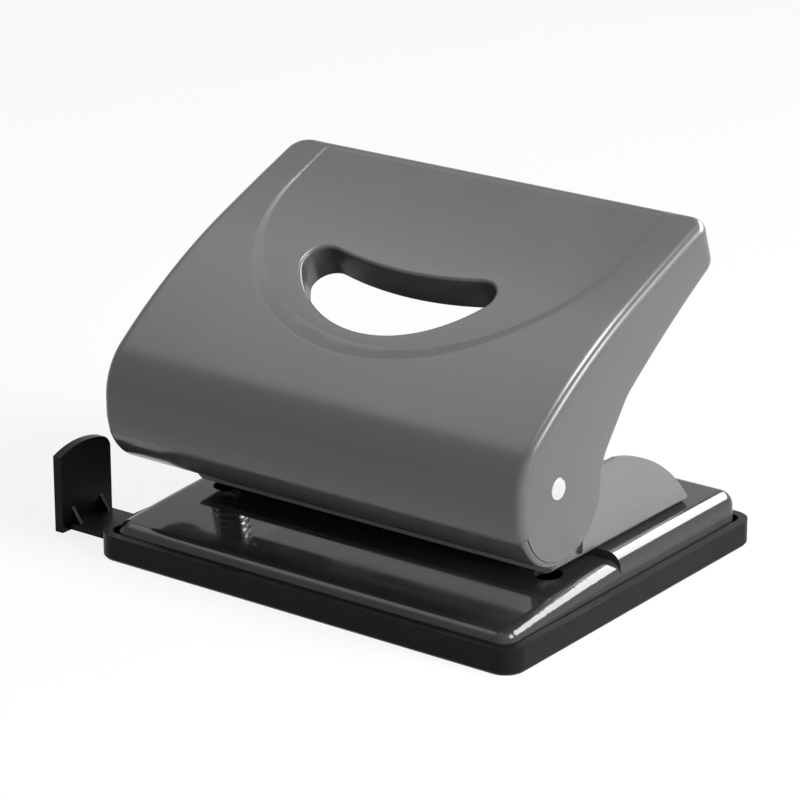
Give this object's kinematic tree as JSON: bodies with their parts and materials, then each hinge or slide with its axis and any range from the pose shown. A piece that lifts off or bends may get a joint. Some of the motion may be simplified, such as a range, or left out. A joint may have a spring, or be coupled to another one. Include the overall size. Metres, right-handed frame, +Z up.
{
  "type": "two-hole desk punch",
  "caption": "Small desk paper punch: curved grey lever handle with a finger slot, sprung punches, steel base and black chip tray.",
  "frame": {"origin": "centre of the chip tray's flat underside, on the desk", "axes": "+Z up, +X to the user's right along the pivot, -Y to the front where paper goes in"},
  "size_m": [0.1164, 0.087, 0.0731],
  "materials": {
    "cover_grey": "satin with a fine metallic grain",
    "black_plastic": "satin",
    "grey_steel": "gloss",
    "bright_steel": "polished",
    "spring_steel": "bright",
    "washer_nylon": "matt"
  },
  "bodies": {
    "root": {"chip_tray": "black_plastic", "base_plate": "grey_steel", "punch_frame": "grey_steel", "frame_rivets": "bright_steel", "guide_bridge": "bright_steel", "left_return_spring": "spring_steel", "right_return_spring": "spring_steel", "left_pivot_pin": "bright_steel", "right_pivot_pin": "bright_steel", "left_pivot_washer": "washer_nylon", "right_pivot_washer": "washer_nylon"},
    "handle": {"handle_cover": "cover_grey", "handle_lever": "grey_steel", "cover_screws": "bright_steel", "press_bar": "bright_steel"},
    "left_punch": {"left_punch": "bright_steel", "left_retaining_clip": "spring_steel"},
    "right_punch": {"right_punch": "bright_steel", "right_retaining_clip": "spring_steel"},
    "paper_guide": {"paper_guide": "black_plastic"}
  },
  "joints": [
    {"name": "handle_hinge", "type": "hinge", "parent": "root", "child": "handle", "pos_m": [0, -0.0282, 0.0333], "axis": [-1, 0, 0], "range_deg": [0, 27], "stiffness_Nm_per_rad": 0.35, "springref_deg": -28.65},
    {"name": "left_punch_slide", "type": "slide", "parent": "root", "child": "left_punch", "axis": [0, 0, -1], "range_m": [0, 0.0065], "deforming": ["left_return_spring"]},
    {"name": "right_punch_slide", "type": "slide", "parent": "root", "child": "right_punch", "axis": [0, 0, -1], "range_m": [0, 0.0065], "deforming": ["right_return_spring"]},
    {"name": "guide_slide", "type": "slide", "parent": "root", "child": "paper_guide", "axis": [-1, 0, 0], "range_m": [-0.0089, 0.028]}
  ],
  "couplings": [
    {"joint": "left_punch_slide", "follows": "handle_hinge", "m_per_rad": 0.01355},
    {"joint": "right_punch_slide", "follows": "handle_hinge", "m_per_rad": 0.01355}
  ]
}
